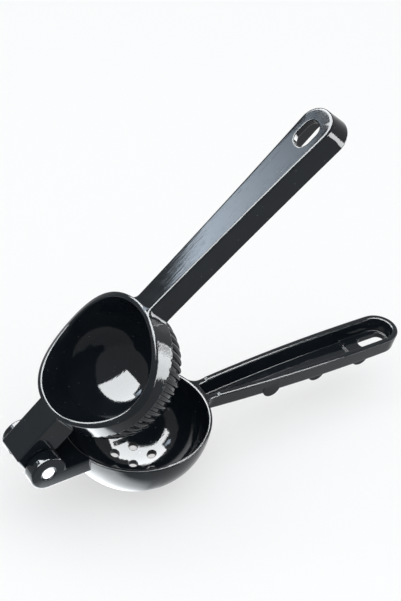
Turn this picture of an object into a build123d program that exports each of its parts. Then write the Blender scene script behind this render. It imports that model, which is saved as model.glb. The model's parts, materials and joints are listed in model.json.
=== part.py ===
from build123d import *
import os
from math import cos, radians, sin, sqrt, tan

os.makedirs("parts", exist_ok=True)

# Lever citrus squeezer, in millimetres. Two die-cast levers turn on one hinge pin.
# The strainer lever carries a round bowl with drain holes, the press lever a cup whose
# domed outside pushes half a fruit into that bowl.
# The frame belongs to the strainer lever: X runs along its handle, Z is square to its rim,
# and the origin is the lowest point of the bowl, on the axis that both cups share.

# Layout that the two levers share
opening_angle = 42.4
cup_reach = 54.7
handle_droop = 2.5
cut_overrun = 6.0
root_overlap = 0.2
root_drop = 0.1
flare_sweep = 65.0

# Hinge
pin_diameter = 7.2
pin_recess = 0.4
pin_chamfer = 0.5
pin_running_clearance = 0.05
ear_radius = 9.0
ear_spread = 30.0
ear_edge_radius = 0.7
ear_inner_edge_radius = 0.4
tongue_width = 15.8
tongue_side_clearance = 0.3
barrel_radius = 7.7
web_clearance = 0.2
tongue_overhang = 4.2
tongue_seat_clearance = 0.6
tongue_edge_radius = 0.8
tongue_end_radius = 1.2

# Strainer bowl
bowl_mouth_radius = 35.0
bowl_depth = 32.7
bowl_rim_width = 1.8
bowl_floor = 2.6
bowl_edge_radius = 0.6
rim_drop = 1.2
drain_diameter = 4.6
drain_ring_radius = 10.4
drain_ring_count = 6

# Strainer handle, an open-topped trough
trough_reach = 208.0
trough_root_width = 14.4
trough_middle_width = 20.7
trough_end_width = 21.6
trough_height = 9.0
trough_wall = 2.9
trough_floor = 2.1
trough_draft = 10.0
trough_lip = 0.9
trough_lip_gap = 6.5
trough_end_wall = 1.0
trough_corner_radius = 1.6
trough_edge_radius = 2.4
trough_root_radius = 6.0
trough_rim_radius = 0.5
grip_ridge_radius = 5.0
grip_ridge_height = 1.7
grip_ridge_spacing = 27.0
grip_ridge_count = 3
last_ridge_to_tip = 26.0
trough_slot_width = 7.6
trough_slot_length = 16.0
trough_slot_to_tip = 13.0
slot_pad_height = 0.8
slot_pad_margin = 8.0

# Press cup
press_top = 14.4
press_band_height = 14.2
press_band_taper = 1.2
press_mouth_clearance = 1.2
press_wall = 2.5
press_ledge = 1.6
press_dome_gap = 3.5
press_dome_wall = 2.8
press_rim_dip = 8.7
press_edge_radius = 0.7
press_ledge_radius = 0.5
rib_count = 48
rib_radius = 1.4
rib_length = 8.0
rib_lean = 14.0

# Press handle, a channel that is open below
channel_reach = 208.5
channel_root_width = 11.8
channel_middle_width = 14.1
channel_end_width = 18.2
channel_height = 12.9
channel_plate = 3.5
channel_wall = 2.4
channel_draft = 5.5
channel_edge_radius = 1.1
channel_root_radius = 4.0
channel_slot_width = 9.4
channel_slot_length = 14.4
channel_slot_to_tip = 14.0


def cap_radius(rim_radius, depth):
    """Radius of the sphere that a cap of this rim radius and depth is cut from."""
    return (rim_radius**2 + depth**2) / (2 * depth)


def place(frame, x, z, tilt=0):
    """Plane at a point of a lever's middle, tipped down along the lever by tilt."""
    origin = frame.from_local_coords((x, 0, z))
    return Plane(origin, frame.x_dir, frame.z_dir).rotated((0, tilt, 0))


def side_of(frame):
    """Upright plane along a lever's middle: sketch X runs along it, sketch Y up."""
    return Plane(frame.origin, frame.x_dir, -frame.y_dir)


def flare_rise(radius):
    """How far a flare of this radius stands out from the side it rounds off."""
    return radius * (1 - cos(radians(flare_sweep)))


def handle_outline(start, tip, widths, inset=0, flare=0):
    """Plan of a handle: two bowed sides and a round tip, all drawn in by inset.
    A flare rounds the sides out to the wall they start from."""
    root, middle, end = [width / 2 - inset for width in widths]
    flare_end = root + flare_rise(flare)
    side_start = start + flare * sin(radians(flare_sweep))
    tip_start = tip - inset - end
    for side in (1, -1):
        bow = ThreePointArc(
            (side_start, side * root),
            ((start + tip_start) / 2, side * middle),
            (tip_start, side * end),
        )
        if flare:
            TangentArc(bow @ 0, (start, side * flare_end), tangent=-(bow % 0))
    ThreePointArc((tip_start, end), (tip - inset, 0), (tip_start, -end))
    Line((start, flare_end), (start, -flare_end))


def edges_at(part, frame, points):
    """Edges of a part that run closest to points given in a lever's frame."""
    return [part.edges().sort_by_distance(frame.from_local_coords(point))[0] for point in points]


# Frames of the two levers: both start on the hinge axis, X along the lever, Z up
rim_height = bowl_depth + bowl_floor
strainer_frame = Plane((-cup_reach, 0, rim_height + rim_drop))
press_frame = strainer_frame.rotated((0, -opening_angle, 0))
strainer_side = side_of(strainer_frame)
press_side = side_of(press_frame)
tongue_gap = tongue_width + 2 * tongue_side_clearance
pin_radius = pin_diameter / 2

# Strainer lever: handle first, because its underside is rounded before the bowl joins it
bowl_outer_radius = bowl_mouth_radius + bowl_rim_width
bowl_ball_radius = cap_radius(bowl_outer_radius, rim_height)
bowl_ball_rise = bowl_ball_radius - rim_height
trough_start = cup_reach + bowl_mouth_radius
trough_length = trough_reach - trough_start
trough_plane = place(strainer_frame, trough_start, trough_lip - rim_drop, handle_droop)
trough_depth = trough_height + trough_lip
trough_draw = tan(radians(trough_draft))
trough_widths = (trough_root_width, trough_middle_width, trough_end_width)
bowl_axis = Axis(place(strainer_frame, cup_reach, 0).origin, strainer_frame.z_dir)
bowl_side = side_of(place(strainer_frame, cup_reach, -rim_drop))
web_face = ear_radius + web_clearance

with BuildPart() as strainer_lever:
    for depth in (0, trough_depth):
        inset = depth * trough_draw
        flare_reach = trough_root_width / 2 + flare_rise(trough_root_radius) - inset
        wall = sqrt(bowl_ball_radius**2 - (bowl_ball_rise + depth) ** 2 - flare_reach**2)
        with BuildSketch(trough_plane.offset(-depth)):
            with BuildLine():
                handle_outline(
                    wall - root_overlap - bowl_mouth_radius,
                    trough_length,
                    trough_widths,
                    inset,
                    trough_root_radius,
                )
            make_face()
    loft(ruled=True)
    underside = strainer_lever.faces().sort_by(Axis.Z)[0].edges()
    fillet(underside.sort_by(Axis.X)[1:], radius=trough_edge_radius)
    # Finger ridges across the underside
    ridge_width = trough_middle_width - 2 * trough_depth * trough_draw
    with BuildSketch(side_of(trough_plane)):
        for ridge in range(grip_ridge_count):
            along = trough_length - last_ridge_to_tip - ridge * grip_ridge_spacing
            with Locations((along, grip_ridge_radius - trough_depth - grip_ridge_height)):
                Circle(grip_ridge_radius)
    extrude(amount=ridge_width / 2, both=True)

    # Trough, with a thicker pad in its floor round the hang slot
    inner_start = cup_reach + bowl_outer_radius + trough_end_wall - trough_start
    hollow_depth = trough_depth - trough_floor
    for depth in (0, hollow_depth):
        with BuildSketch(trough_plane.offset(-depth)) as hollow:
            with BuildLine():
                handle_outline(
                    inner_start,
                    trough_length,
                    trough_widths,
                    trough_wall + depth * trough_draw,
                )
            make_face()
            fillet(hollow.vertices().group_by(Axis.X)[0], radius=trough_corner_radius)
    loft(ruled=True, mode=Mode.SUBTRACT)
    top_point = trough_plane.from_local_coords((trough_length - trough_wall / 2, 0, 0))
    top_edges = strainer_lever.faces().sort_by_distance(top_point)[0].edges()
    fillet(top_edges.sort_by(Axis.X)[1:], radius=trough_rim_radius)
    pad_start = trough_length - trough_slot_to_tip - trough_slot_length / 2 - slot_pad_margin
    with BuildSketch(trough_plane.offset(-trough_depth + trough_floor / 2)):
        with BuildLine():
            handle_outline(
                inner_start,
                trough_length,
                trough_widths,
                trough_wall + hollow_depth * trough_draw / 2,
            )
        make_face()
        with Locations((pad_start, 0)):
            Rectangle(
                trough_length,
                trough_end_width,
                align=(Align.MIN, Align.CENTER),
                mode=Mode.INTERSECT,
            )
    extrude(amount=trough_floor / 2 + slot_pad_height)
    slot_centre = trough_length - trough_slot_to_tip
    with BuildSketch(trough_plane):
        with Locations((slot_centre, 0)):
            SlotOverall(trough_slot_length, trough_slot_width)
    extrude(amount=-(trough_depth + cut_overrun), mode=Mode.SUBTRACT)

    # Hinge bracket: two ears on a block that runs into the bowl
    with BuildSketch(strainer_side):
        Circle(ear_radius)
        with BuildLine():
            Polyline(
                (0, -ear_radius),
                (cup_reach - bowl_mouth_radius / 2, -ear_radius),
                (cup_reach - bowl_mouth_radius / 2, -rim_drop),
                (0, -rim_drop),
                close=True,
            )
        make_face()
    extrude(amount=ear_spread / 2, both=True)
    with BuildSketch(strainer_side):
        with Locations((web_face, 0)):
            Rectangle(
                web_face + ear_radius + cut_overrun,
                2 * (ear_radius + cut_overrun),
                align=(Align.MAX, Align.CENTER),
            )
    extrude(amount=tongue_gap / 2, both=True, mode=Mode.SUBTRACT)
    half_bracket = ear_spread / 2
    bracket_end = cup_reach - sqrt(bowl_outer_radius**2 - half_bracket**2)
    ear_points = []
    for side in (1, -1):
        ear_points.append((-ear_radius, side * half_bracket, 0))
        ear_points.append((ear_radius, side * half_bracket, -ear_radius))
        ear_points.append(((ear_radius + bracket_end) / 2, side * half_bracket, -rim_drop))
    fillet(edges_at(strainer_lever, strainer_frame, ear_points), radius=ear_edge_radius)
    gap_points = [(-ear_radius, side * tongue_gap / 2, 0) for side in (1, -1)]
    fillet(edges_at(strainer_lever, strainer_frame, gap_points), radius=ear_inner_edge_radius)

    # Bowl: a thick spherical cap, hollowed after everything that meets it
    with BuildSketch(bowl_side) as bowl_edge:
        with BuildLine():
            RadiusArc(
                (bowl_outer_radius, 0),
                (0, -rim_height),
                bowl_ball_radius,
            )
            Polyline((0, -rim_height), (0, 0), (bowl_outer_radius, 0))
        make_face()
        fillet(bowl_edge.vertices().sort_by(Axis.X)[-1], radius=bowl_edge_radius)
    revolve(axis=bowl_axis)
    with BuildSketch(bowl_side):
        with BuildLine():
            RadiusArc(
                (bowl_mouth_radius, 0),
                (0, -bowl_depth),
                cap_radius(bowl_mouth_radius, bowl_depth),
            )
            Polyline(
                (0, -bowl_depth),
                (0, cut_overrun),
                (bowl_mouth_radius, cut_overrun),
                (bowl_mouth_radius, 0),
            )
        make_face()
    revolve(axis=bowl_axis, mode=Mode.SUBTRACT)

    # Seat that is level with the rim, before the raised edge of the trough begins
    lip_start = bowl_outer_radius + trough_lip_gap
    with BuildSketch(place(strainer_frame, cup_reach, -rim_drop)):
        Rectangle(lip_start, 2 * bowl_outer_radius, align=(Align.MIN, Align.CENTER))
    extrude(amount=cut_overrun, mode=Mode.SUBTRACT)

    # Drain holes: one at the bottom of the bowl and a ring round it
    with BuildSketch(Plane.XY):
        Circle(drain_diameter / 2)
        with PolarLocations(drain_ring_radius, drain_ring_count):
            Circle(drain_diameter / 2)
    extrude(amount=rim_height / 2, mode=Mode.SUBTRACT)

    # Bore for the pin, a press fit in both ears
    with BuildSketch(strainer_side):
        Circle(pin_radius)
    extrude(amount=ear_spread, both=True, mode=Mode.SUBTRACT)

    rim_point = (cup_reach, bowl_mouth_radius, -rim_drop)
    fillet(edges_at(strainer_lever, strainer_frame, [rim_point]), radius=bowl_edge_radius)

with BuildPart() as hinge_pin:
    with BuildSketch(strainer_side):
        Circle(pin_radius)
    extrude(amount=ear_spread / 2 - pin_recess, both=True)
    chamfer(hinge_pin.edges().filter_by(GeomType.CIRCLE), length=pin_chamfer)

# Press lever
press_mouth_outer = bowl_mouth_radius - press_mouth_clearance
press_top_outer = press_mouth_outer - press_band_taper
press_inner_radius = press_top_outer - press_wall
ledge_height = press_top - press_band_height
dome_rim_radius = press_mouth_outer - press_ledge
dome_depth = ledge_height + rim_drop + bowl_depth - press_dome_gap
dome_inner_radius = dome_rim_radius - press_dome_wall
press_axis = Axis(place(press_frame, cup_reach, 0).origin, press_frame.z_dir)
ledge_side = side_of(place(press_frame, cup_reach, ledge_height))
top_side = side_of(place(press_frame, cup_reach, press_top))
channel_start = cup_reach + press_inner_radius
band_draw = press_band_taper / press_band_height
channel_length = channel_reach - channel_start
channel_plane = place(press_frame, channel_start, press_top - root_drop, handle_droop)
channel_draw = tan(radians(channel_draft))
channel_widths = (channel_root_width, channel_middle_width, channel_end_width)
tongue_end = cup_reach - press_inner_radius - root_overlap
tongue_top = press_top - root_drop

with BuildPart() as press_rib:
    with BuildSketch(Plane.XZ):
        with BuildLine():
            Polyline((0, rib_radius), (rib_radius, rib_radius), (rib_radius, -rib_length))
            RadiusArc((rib_radius, -rib_length), (0, -rib_length - rib_radius), rib_radius)
            Line((0, -rib_length - rib_radius), (0, rib_radius))
        make_face()
    revolve(axis=Axis.Z)

# Tongue that turns between the ears
with BuildPart() as press_tongue:
    with BuildSketch(press_side):
        with BuildLine():
            Line((-tongue_overhang, tongue_top), (-barrel_radius, 0))
            RadiusArc((-barrel_radius, 0), (barrel_radius, 0), -barrel_radius)
            Polyline(
                (barrel_radius, 0),
                (barrel_radius, tongue_seat_clearance - rim_drop),
                (tongue_end, tongue_seat_clearance - rim_drop),
                (tongue_end, tongue_top),
                (-tongue_overhang, tongue_top),
            )
        make_face()
    extrude(amount=tongue_width / 2, both=True)
    fillet(
        edges_at(press_tongue, press_frame, [(-tongue_overhang, 0, tongue_top)]),
        radius=tongue_end_radius,
    )
    side_points = [(barrel_radius, side * tongue_width / 2, tongue_top) for side in (1, -1)]
    fillet(edges_at(press_tongue, press_frame, side_points), radius=tongue_edge_radius)
    with BuildSketch(press_side):
        Circle(pin_radius + pin_running_clearance)
    extrude(amount=ear_spread, both=True, mode=Mode.SUBTRACT)

# Handle: a channel, open below, with a hang slot
with BuildPart() as press_channel:
    for depth in (0, channel_height):
        inset = -depth * channel_draw
        flare_reach = channel_root_width / 2 + flare_rise(channel_root_radius) - inset
        wall = sqrt((press_top_outer + depth * band_draw) ** 2 - flare_reach**2)
        with BuildSketch(channel_plane.offset(-depth)):
            with BuildLine():
                handle_outline(
                    wall - root_overlap - press_inner_radius,
                    channel_length,
                    channel_widths,
                    inset,
                    channel_root_radius,
                )
            make_face()
    loft(ruled=True)
    along_channel = Axis(channel_plane.origin, channel_plane.x_dir)
    up_channel = Axis(channel_plane.origin, channel_plane.z_dir)
    top_edges = press_channel.faces().sort_by(up_channel)[-1].edges()
    fillet(top_edges.sort_by(along_channel)[1:], radius=channel_edge_radius)
    channel_inner_start = press_mouth_outer - press_inner_radius + channel_wall
    for depth in (channel_plate, channel_height):
        with BuildSketch(channel_plane.offset(-depth)):
            with BuildLine():
                handle_outline(
                    channel_inner_start,
                    channel_length,
                    channel_widths,
                    channel_wall - depth * channel_draw,
                )
            make_face()
    loft(ruled=True, mode=Mode.SUBTRACT)
    with BuildSketch(channel_plane):
        with Locations((channel_length - channel_slot_to_tip, 0)):
            SlotOverall(channel_slot_length, channel_slot_width)
    extrude(amount=-(channel_height + cut_overrun), mode=Mode.SUBTRACT)

# Cup, and the whole lever
with BuildPart() as press_lever:
    with BuildSketch(ledge_side) as cup_edge:
        with BuildLine():
            RadiusArc((dome_rim_radius, 0), (0, -dome_depth), cap_radius(dome_rim_radius, dome_depth))
            Polyline(
                (0, -dome_depth),
                (0, press_band_height),
                (press_top_outer, press_band_height),
                (press_mouth_outer, 0),
                (dome_rim_radius, 0),
            )
        make_face()
        fillet(cup_edge.vertices().sort_by(Axis.X)[-1], radius=press_ledge_radius)
    revolve(axis=press_axis)

    # The rim is level at the tongue and the handle and dips at both sides
    dip_run = press_mouth_outer - tongue_width / 2
    with BuildSketch(Plane(top_side.origin, press_frame.y_dir, press_frame.x_dir)):
        for side in (1, -1):
            with BuildLine():
                RadiusArc(
                    (side * tongue_width / 2, 0),
                    (side * press_mouth_outer, -press_rim_dip),
                    side * cap_radius(dip_run, press_rim_dip),
                )
                Polyline(
                    (side * press_mouth_outer, -press_rim_dip),
                    (side * press_mouth_outer, cut_overrun),
                    (side * tongue_width / 2, cut_overrun),
                    (side * tongue_width / 2, 0),
                )
            make_face()
    extrude(amount=press_mouth_outer, both=True, mode=Mode.SUBTRACT)

    # Hollow of the cup, open at the top
    with BuildSketch(ledge_side):
        with BuildLine():
            RadiusArc(
                (dome_inner_radius, 0),
                (0, press_dome_wall - dome_depth),
                cap_radius(dome_inner_radius, dome_depth - press_dome_wall),
            )
            Polyline(
                (0, press_dome_wall - dome_depth),
                (0, press_band_height + cut_overrun),
                (press_inner_radius, press_band_height + cut_overrun),
                (press_inner_radius, press_band_height),
                (dome_inner_radius, 0),
            )
        make_face()
    revolve(axis=press_axis, mode=Mode.SUBTRACT)
    rim_edges = press_lever.edges().filter_by_position(
        press_axis, press_top - press_rim_dip - press_edge_radius, press_top + press_edge_radius
    )
    fillet(rim_edges.filter_by(GeomType.LINE, reverse=True), radius=press_edge_radius)

    with Locations(place(press_frame, cup_reach, ledge_height).location):
        with PolarLocations(dome_rim_radius, rib_count):
            with Locations(Rotation(0, rib_lean, 0)):
                add(press_rib.part)
    add(press_tongue.part)
    add(press_channel.part)

press_lever.part.label = "press_lever"
export_step(press_lever.part, "parts/press_lever.step")

strainer_lever.part.label = "strainer_lever"
hinge_pin.part.label = "hinge_pin"
export_step(strainer_lever.part, "parts/strainer_lever.step")
export_step(hinge_pin.part, "parts/hinge_pin.step")
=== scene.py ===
import json
import math

import bpy
from mathutils import Matrix, Vector


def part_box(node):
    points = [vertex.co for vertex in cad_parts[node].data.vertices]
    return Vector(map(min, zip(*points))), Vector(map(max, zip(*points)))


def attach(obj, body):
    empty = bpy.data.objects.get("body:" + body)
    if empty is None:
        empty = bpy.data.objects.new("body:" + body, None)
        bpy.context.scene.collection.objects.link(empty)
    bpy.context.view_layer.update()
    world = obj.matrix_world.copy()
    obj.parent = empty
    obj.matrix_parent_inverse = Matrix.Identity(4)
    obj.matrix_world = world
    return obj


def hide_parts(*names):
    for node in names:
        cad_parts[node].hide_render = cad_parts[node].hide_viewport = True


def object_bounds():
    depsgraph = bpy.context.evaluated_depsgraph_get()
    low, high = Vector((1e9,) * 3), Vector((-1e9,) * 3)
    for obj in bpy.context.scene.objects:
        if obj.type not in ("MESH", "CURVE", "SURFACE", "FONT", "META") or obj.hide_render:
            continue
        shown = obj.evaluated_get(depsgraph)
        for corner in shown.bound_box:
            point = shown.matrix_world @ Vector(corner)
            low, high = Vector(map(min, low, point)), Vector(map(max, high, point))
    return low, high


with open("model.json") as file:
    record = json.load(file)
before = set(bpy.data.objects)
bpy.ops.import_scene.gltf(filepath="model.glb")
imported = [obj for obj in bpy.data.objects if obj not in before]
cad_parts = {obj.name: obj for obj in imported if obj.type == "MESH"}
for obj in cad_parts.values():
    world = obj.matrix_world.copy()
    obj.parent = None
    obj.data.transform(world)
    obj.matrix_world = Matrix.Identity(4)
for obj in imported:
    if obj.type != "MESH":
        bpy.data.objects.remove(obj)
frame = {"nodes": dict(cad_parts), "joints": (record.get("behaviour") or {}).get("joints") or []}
cad_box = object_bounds()


# Strainer lever: the lower half, a drained bowl with its hinge ears and a
# troughed handle. One aluminium die casting, fettled at the parting line and
# stove enamelled gloss black all over; it stands on the bowl's foot.
class Wire:
    def __init__(self, tree, socket=None):
        self.tree = tree
        self.socket = socket

    # An input is given by its place, as at0, or by its name with _ for a space.
    def node(self, kind, settings=None, out=0, **inputs):
        made = self.tree.nodes.new(kind)
        for key, value in (settings or {}).items():
            setattr(made, key, value)
        for key, value in inputs.items():
            place = key.removeprefix("at")
            target = made.inputs[int(place) if place.isdigit() else key.replace("_", " ")]
            if isinstance(value, Wire):
                self.tree.links.new(value.socket, target)
            else:
                target.default_value = value
        return Wire(self.tree, made.outputs[out])

    def maths(self, operation, first, second):
        return self.node("ShaderNodeMath", {"operation": operation}, at0=first, at1=second)

    def __add__(self, other):
        return self.maths("ADD", self, other)

    def __sub__(self, other):
        return self.maths("SUBTRACT", self, other)

    def __rsub__(self, other):
        return self.maths("SUBTRACT", other, self)

    def __mul__(self, other):
        return self.maths("MULTIPLY", self, other)

    def __truediv__(self, other):
        return self.maths("DIVIDE", self, other)

    def __pow__(self, other):
        return self.maths("POWER", self, other)

    def __gt__(self, other):
        return self.maths("GREATER_THAN", self, other)

    __radd__ = __add__
    __rmul__ = __mul__

    def at_least(self, low):
        return self.maths("MAXIMUM", self, low)

    def between(self, low, high):
        return self.node("ShaderNodeMapRange", at0=self, at1=low, at2=high)

    def mix(self, first, second):
        return self.node("ShaderNodeMix", {"data_type": "RGBA"}, out=2, at0=self, at6=first, at7=second)

    def part(self, axis):
        return self.node("ShaderNodeSeparateXYZ", out=axis, at0=self)

    def vector(self, operation, out, **inputs):
        return self.node("ShaderNodeVectorMath", {"operation": operation}, out=out, at0=self, **inputs)

    def feed(self, node, name):
        self.tree.links.new(self.socket, node.inputs[name])


def bare_finish(name):
    finish = bpy.data.materials.new(name)
    finish.use_nodes = True
    return finish, finish.node_tree.nodes["Principled BSDF"], Wire(finish.node_tree)


enamel_index = 1.27
enamel_dark = (0.0055, 0.0078, 0.0105, 1)
enamel_light = (0.0085, 0.0112, 0.0145, 1)
edge_colour = (0.018, 0.021, 0.025, 1)
edge_share = 0.6
speck_colour = (0.1, 0.11, 0.12, 1)
stroke_size = (0.013, 0.0007, 0.0007)
swells_per_metre = 170
pores_per_metre = 1100
smears_per_metre = 45
specks_per_metre = 260
speck_radii = (0.03, 0.07)
smear_tones = (0.35, 0.65)
smear_sheen = (0.3, 0.7)
coat_roughness = 0.03
smear_roughness = 0.03
stroke_roughness = 0.02
edge_roughness = 0.03
speck_roughness = 0.15
micron = 1e-6
swell_microns = 2.4
stroke_microns = 16
pore_microns = 0.45
speck_microns = 3
cast_edge = 0.0005
edge_turn = (0.75, 0.98)
sharp_angle = math.radians(35)


# Edges above edge_start, measured square to the lever, are rounded to edge_round, and the rest
# to cast_edge.
def stoved_enamel(name, lean, edge_round, edge_start=-1):
    finish, gloss, wire = bare_finish(name)
    gloss.inputs["IOR"].default_value = enamel_index
    spot = wire.node("ShaderNodeTexCoord", out="Object")
    along = wire.node("ShaderNodeMapping", {"vector_type": "TEXTURE"}, Vector=spot,
                      Rotation=(0, lean, 0), Scale=stroke_size)
    strokes = wire.node("ShaderNodeTexNoise", Vector=along, Scale=1, Detail=2)
    swell = wire.node("ShaderNodeTexNoise", Vector=spot, Scale=swells_per_metre, Detail=1)
    pores = wire.node("ShaderNodeTexNoise", Vector=spot, Scale=pores_per_metre, Detail=2)
    smear = wire.node("ShaderNodeTexNoise", Vector=spot, Scale=smears_per_metre, Detail=4)
    dust = wire.node("ShaderNodeTexVoronoi", out="Distance", Vector=spot, Scale=specks_per_metre)
    speck = 1 - dust.between(*speck_radii)
    rise = spot.vector("DOT_PRODUCT", "Value", at1=(math.sin(lean), 0, math.cos(lean)))
    edge_radius = cast_edge + (edge_round - cast_edge) * (rise > edge_start)
    rounded = wire.node("ShaderNodeBevel", {"samples": 8}, Radius=edge_radius)
    facing = wire.node("ShaderNodeNewGeometry", out="Normal")
    edge = 1 - rounded.vector("DOT_PRODUCT", "Value", at1=facing).between(*edge_turn)
    coat = smear.between(*smear_tones).mix(enamel_dark, enamel_light)
    coat = (edge * edge_share).mix(coat, edge_colour)
    speck.mix(coat, speck_colour).feed(gloss, "Base Color")
    rough = coat_roughness + smear_roughness * smear.between(*smear_sheen) + stroke_roughness * strokes
    (rough + edge_roughness * edge + speck_roughness * speck).feed(gloss, "Roughness")
    relief = swell_microns * swell + stroke_microns * strokes + pore_microns * pores - speck_microns * speck
    relief = wire.node("ShaderNodeBump", Strength=1, Distance=micron, Height=relief, Normal=rounded)
    relief.feed(gloss, "Normal")
    return finish


def new_tree(name, inputs, output):
    tree = bpy.data.node_groups.new(name, "GeometryNodeTree")
    for label, kind in inputs.items():
        tree.interface.new_socket(label, in_out="INPUT", socket_type="NodeSocket" + kind)
    tree.interface.new_socket(output, in_out="OUTPUT", socket_type="NodeSocketGeometry")
    given = tree.nodes.new("NodeGroupInput")
    return tree, [Wire(tree, socket) for socket in given.outputs[:len(inputs)]]


def add_tree(piece, tree, values):
    step = piece.modifiers.new(tree.name, "NODES")
    step.node_group = tree
    for socket in tree.interface.items_tree:
        if socket.name in values:
            step[socket.identifier] = values[socket.name]


def keep_mesh(piece):
    graph = bpy.context.evaluated_depsgraph_get()
    shaped = piece.evaluated_get(graph)
    mesh = bpy.data.meshes.new_from_object(shaped, preserve_all_data_layers=True, depsgraph=graph)
    piece.modifiers.clear()
    piece.data = mesh


def put_in_scene(name, data):
    thing = bpy.data.objects.new(name, data)
    bpy.context.scene.collection.objects.link(thing)
    return thing


welding, (solid, weld, sharp, coat) = new_tree(
    "welded_skin",
    {"Solid": "Geometry", "Weld Distance": "Float", "Sharp Angle": "Float", "Finish": "Material"},
    "Skin",
)
skin = solid.node("GeometryNodeMergeByDistance", Geometry=solid, Distance=weld)
skin = solid.node("GeometryNodeSetShadeSmooth", Geometry=skin)
crease = solid.node("GeometryNodeInputMeshEdgeAngle") > sharp
skin = solid.node("GeometryNodeSetShadeSmooth", {"domain": "EDGE"}, Geometry=skin, Selection=crease,
                  Shade_Smooth=False)
skin = solid.node("GeometryNodeRealizeInstances", Geometry=skin)
skin = solid.node("GeometryNodeSetMaterial", Geometry=skin, Material=coat)
skin.feed(welding.nodes.new("NodeGroupOutput"), "Skin")


def skinned(name, node, finish):
    piece = put_in_scene(name, frame["nodes"][node].data.copy())
    add_tree(piece, welding, {"Weld Distance": micron, "Sharp Angle": sharp_angle, "Finish": finish})
    level = piece.modifiers.new("level", "WEIGHTED_NORMAL")
    level.weight = 100
    level.keep_sharp = True
    keep_mesh(piece)
    return piece


rim_edge = 0.001
rim_edge_start = 0.031
strainer_enamel = stoved_enamel("strainer_enamel", 0, rim_edge, rim_edge_start)
strainer = skinned("strainer_casting", "strainer_lever", strainer_enamel)
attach(strainer, "strainer")
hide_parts("strainer_lever")

# Hinge pin: a plain turned steel rod pressed through both ears of the strainer
# lever. Its ends are faced off flush, so they show as bright discs with the
# fine rings of the facing tool.
steel_dark = (0.74, 0.75, 0.77, 1)
steel_light = (0.86, 0.865, 0.87, 1)
rings_per_metre = 9000
stains_per_metre = 500
stain_tones = (0.3, 0.7)
faced_roughness = 0.16
ring_roughness = 0.12
stain_roughness = 0.08
ring_microns = 2
steel, bright, wire = bare_finish("faced_steel")
bright.inputs["Metallic"].default_value = 1
pin_low, pin_high = (Vector(corner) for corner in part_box("hinge_pin"))
spot = wire.node("ShaderNodeTexCoord", out="Object")
offset = spot.vector("SUBTRACT", "Vector", at1=(pin_low + pin_high) / 2)
radius = offset.vector("MULTIPLY", "Vector", at1=(1, 0, 1)).vector("LENGTH", "Value")
rings = wire.node("ShaderNodeTexNoise", {"noise_dimensions": "1D"}, W=radius, Scale=rings_per_metre,
                  Detail=2)
stain = wire.node("ShaderNodeTexNoise", Vector=spot, Scale=stains_per_metre, Detail=3)
stain.between(*stain_tones).mix(steel_dark, steel_light).feed(bright, "Base Color")
(faced_roughness + ring_roughness * rings + stain_roughness * stain).feed(bright, "Roughness")
turning = wire.node("ShaderNodeBump", Strength=1, Distance=micron, Height=ring_microns * rings)
turning.feed(bright, "Normal")
pin = skinned("pin_turning", "hinge_pin", steel)
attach(pin, "strainer")
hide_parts("hinge_pin")

# Press lever: the upper half, a hollow press cup with a dipped rim, a ledge and
# a ring of ribs round its dome, a hinge tongue and a channelled handle. Cast
# and enamelled as the strainer lever is, and hung on the pin by its tongue.
lever_hinge = frame["joints"][0]
hinge = Vector(lever_hinge["pos_m"])
opening = -math.radians(lever_hinge["range_deg"][0])
lifted = Matrix.Translation(hinge) @ Matrix.Rotation(-opening, 4, "Y")
upward = Vector((-math.sin(opening), 0, math.cos(opening)))
ledge_height = 0.0002
ledge_rise = (lifted @ Vector((0, 0, ledge_height))).dot(upward)
press_edge = 0.0008
press_enamel = stoved_enamel("press_enamel", -opening, press_edge, ledge_rise)
press = skinned("press_casting", "press_lever", press_enamel)
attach(press, "press")
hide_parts("press_lever")

# Ribs of the press cup: a ring of half-round flutes that run from the ledge
# down the dome, cast with the cup and enamelled with it. They grip the peel as
# the cup closes.
dome_radius = 0.03224
dome_depth = 0.030598
tip_bluntness = 8
least_tip = 0.08
post_radius = 1e-6
fluting, (count, dome, start, sweep, root, narrowing, coat) = new_tree(
    "rib_ring",
    {
        "Count": "Int",
        "Dome Radius": "Float",
        "Ledge Angle": "Float",
        "Sweep": "Float",
        "Root Radius": "Float",
        "Narrowing": "Float",
        "Finish": "Material",
    },
    "Ribs",
)
path = count.node("GeometryNodeCurveArc", Resolution=28, Radius=dome, Start_Angle=start, Sweep_Angle=sweep)
far = count.node("GeometryNodeSplineParameter", out="Factor")
tip = (1 - far**tip_bluntness) ** 0.5
girth = root * (1 - narrowing * far) * tip.at_least(least_tip)
outline = count.node("GeometryNodeCurvePrimitiveCircle", Resolution=14, Radius=1)
rib = count.node("GeometryNodeCurveToMesh", Curve=path, Profile_Curve=outline, Scale=girth, Fill_Caps=True)
posts = count.node("GeometryNodeMeshCircle", Vertices=count, Radius=post_radius)
spin = count.node("GeometryNodeInputIndex") * (2 * math.pi) / count
stance = count.node("ShaderNodeCombineXYZ", at0=math.pi / 2, at2=spin)
stance = count.node("FunctionNodeEulerToRotation", at0=stance)
ribs = count.node("GeometryNodeInstanceOnPoints", Points=posts, Instance=rib, Rotation=stance)
ribs = count.node("GeometryNodeRealizeInstances", Geometry=ribs)
ribs = count.node("GeometryNodeSetShadeSmooth", Geometry=ribs)
ribs = count.node("GeometryNodeSetMaterial", Geometry=ribs, Material=coat)
ribs.feed(fluting.nodes.new("NodeGroupOutput"), "Ribs")
rib_ring = put_in_scene("press_ribs", bpy.data.meshes.new("press_ribs"))
rib_sizes = {
    "Count": 48,
    "Dome Radius": dome_radius,
    "Ledge Angle": math.radians(-2),
    "Sweep": math.radians(-31),
    "Root Radius": 0.00144,
    "Narrowing": 0.2,
    "Finish": stoved_enamel("rib_enamel", -opening, 0),
}
add_tree(rib_ring, fluting, rib_sizes)
keep_mesh(rib_ring)
cup_reach = -hinge.x
dome_centre = ledge_height + dome_radius - dome_depth
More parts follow.
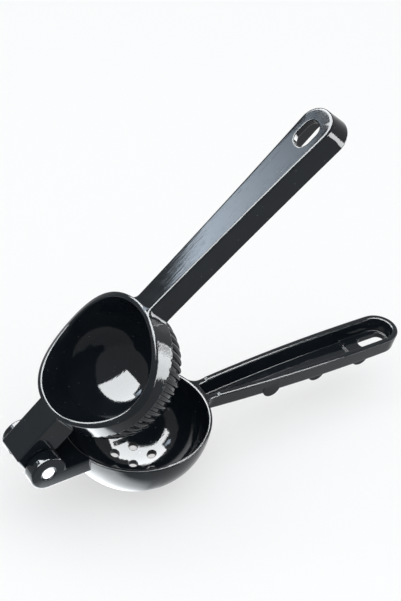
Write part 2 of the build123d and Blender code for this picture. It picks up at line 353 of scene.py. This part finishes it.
rib_ring.data.transform(lifted @ Matrix.Translation((cup_reach, 0, dome_centre)))
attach(rib_ring, "press")

# Floor: a table top of matt white acrylic with a faint tooth, lit a little from
# below, so that it shows white and the object's own shadow on it stays light.
acrylic_dark = (0.9, 0.9, 0.9, 1)
acrylic_light = (0.92, 0.92, 0.92, 1)
acrylic_glow = (0.97, 0.97, 0.97, 1)
acrylic_roughness = 0.9
teeth_per_metre = 900
glow_share = 0.6
floor_reach = 8
floor_gap = 0.0005
floor_height = cad_box[0][2] - floor_gap


def background_rays(wire):
    camera_ray, glossy_ray, clear_ray = (wire.node("ShaderNodeLightPath", out="Is %s Ray" % kind)
                                         for kind in ("Camera", "Glossy", "Transmission"))
    return camera_ray + glossy_ray + clear_ray


def rectangle(low_x, high_x, low_y, high_y, height):
    corners = ((low_x, low_y), (high_x, low_y), (high_x, high_y), (low_x, high_y))
    return [(x, y, height) for x, y in corners]


def flat_sheet(name, corners, finish):
    face = bpy.data.meshes.new(name)
    face.from_pydata(corners, [], [(0, 1, 2, 3)])
    face.materials.append(finish)
    return put_in_scene(name, face)


acrylic, matt, wire = bare_finish("white_acrylic")
matt.inputs["Specular IOR Level"].default_value = 0
matt.inputs["Roughness"].default_value = acrylic_roughness
spot = wire.node("ShaderNodeTexCoord", out="Object")
tooth = wire.node("ShaderNodeTexNoise", Vector=spot, Scale=teeth_per_metre, Detail=2)
tooth.mix(acrylic_dark, acrylic_light).feed(matt, "Base Color")
glow = wire.node("ShaderNodeEmission", Color=acrylic_glow, Strength=1)
lit = wire.node("ShaderNodeMixShader", at0=glow_share * background_rays(wire),
                at1=Wire(wire.tree, matt.outputs[0]), at2=glow)
lit.feed(acrylic.node_tree.nodes["Material Output"], "Surface")
floor_corners = rectangle(-floor_reach, floor_reach, -floor_reach, floor_reach, floor_height)
floor = flat_sheet("floor", floor_corners, acrylic)

# Studio light: a white room that gives little light of its own, one wide lamp
# that lights the table evenly, and soft boxes and glowing cards that the enamel
# shows as clean pale shapes. None of them is seen in the picture itself.
room_colour = (0.97, 0.985, 1, 1)
room_light = 0.5
lamp_colour = (0.96, 0.985, 1)
table_radiance = 1.4
box_radiance = 50
side_radiance = 26
box_height = 1
side_height = 0.048
world = bpy.data.worlds.new("studio")
bpy.context.scene.world = world
world.use_nodes = True
room = world.node_tree.nodes["Background"]
room.inputs["Color"].default_value = room_colour
(room_light + (1 - room_light) * background_rays(Wire(world.node_tree))).feed(room, "Strength")


def soft_box(name, size, radiance, place, aim, lights_table=False):
    lamp = bpy.data.lights.new(name, "AREA")
    lamp.shape = "RECTANGLE"
    lamp.color = lamp_colour
    lamp.size, lamp.size_y = size
    lamp.energy = radiance * math.pi * size[0] * size[1]
    box = put_in_scene(name, lamp)
    box.location = place
    box.rotation_euler = (Vector(aim) - Vector(place)).to_track_quat("-Z", "Y").to_euler()
    box.visible_camera = False
    box.visible_diffuse = lights_table
    box.visible_glossy = not lights_table


soft_box("table_lamp", (3, 3), table_radiance, (-0.2, -0.3, 1.75), (0, 0, 0), lights_table=True)
for name, size, x, y in (
    ("overhead_box", (1.07, 1.48), -0.005, 0.46),
    ("right_box", (0.2, 0.8), 0.63, 0.12),
    ("left_box", (0.54, 0.98), -0.81, 0.21),
):
    soft_box(name, size, box_radiance, (x, y, box_height), (x, y, 0))
soft_box("side_box", (0.55, 0.09), side_radiance, (0.4, -0.25, side_height), (0, 0, side_height))


def glow_card(name, corners, colour, strength):
    glow = bpy.data.materials.new(name)
    glow.use_nodes = True
    glow.node_tree.nodes.clear()
    wire = Wire(glow.node_tree)
    spot = wire.node("ShaderNodeTexCoord", out="Object")
    light = wire.node("ShaderNodeEmission", Color=colour, Strength=strength(spot))
    light.feed(glow.node_tree.nodes.new("ShaderNodeOutputMaterial"), "Surface")
    card = flat_sheet(name, corners, glow)
    card.visible_camera = False
    card.visible_diffuse = False
    card.visible_shadow = False


strip_colour = (0.72, 0.84, 0.97, 1)
strip_dim_end = 8
strip_gain = 24
strip_run = (-0.56, -0.86)
strip_corners = [(-0.97, 0.995, box_height), (-0.595, 0.807, box_height),
                 (-0.525, 0.933, box_height), (-0.82, 1.115, box_height)]


def strip_glow(spot):
    return strip_dim_end + strip_gain * spot.part("X").between(*strip_run)


glow_card("strip_card", strip_corners, strip_colour, strip_glow)
pool_colour = (0.93, 0.97, 1, 1)
pool_edge = 0.97
pool_gain = 8
pool_run = (-0.005, -0.04)
pool_front = (-0.044, -0.034)
pool_back = (-0.012, 0.012)
pool_back_loss = 0.7
pool_gap = 0.0002
pool_corners = rectangle(-0.14, 0.002, -0.052, 0.072, floor_height + pool_gap)


def pool_glow(spot):
    depth = spot.part("Y")
    spread = depth.between(*pool_front) - pool_back_loss * depth.between(*pool_back)
    return pool_edge + pool_gain * spot.part("X").between(*pool_run) * spread


glow_card("table_pool", pool_corners, pool_colour, pool_glow)

# Camera: a long lens that flattens the view, in front of the hinge and to its
# left, well above the table, looking down over the hinge and along the levers.
camera = bpy.data.cameras.new("camera")
camera.sensor_fit = "VERTICAL"
camera.sensor_height = 36
camera.lens = 114.56
camera.clip_start = 0.01
viewer = put_in_scene("camera", camera)
right = Vector((0.85094, -0.52191, 0.05925))
up = Vector((0.30628, 0.58464, 0.75126))
back = Vector((-0.42673, -0.62113, 0.65734))
stand = Vector((-0.34607, -0.5506, 0.67819))
turn = Matrix((right, up, back)).transposed()
viewer.matrix_world = Matrix.Translation(stand) @ turn.to_4x4()
bpy.context.scene.camera = viewer

bpy.context.scene.view_settings.view_transform = "Standard"
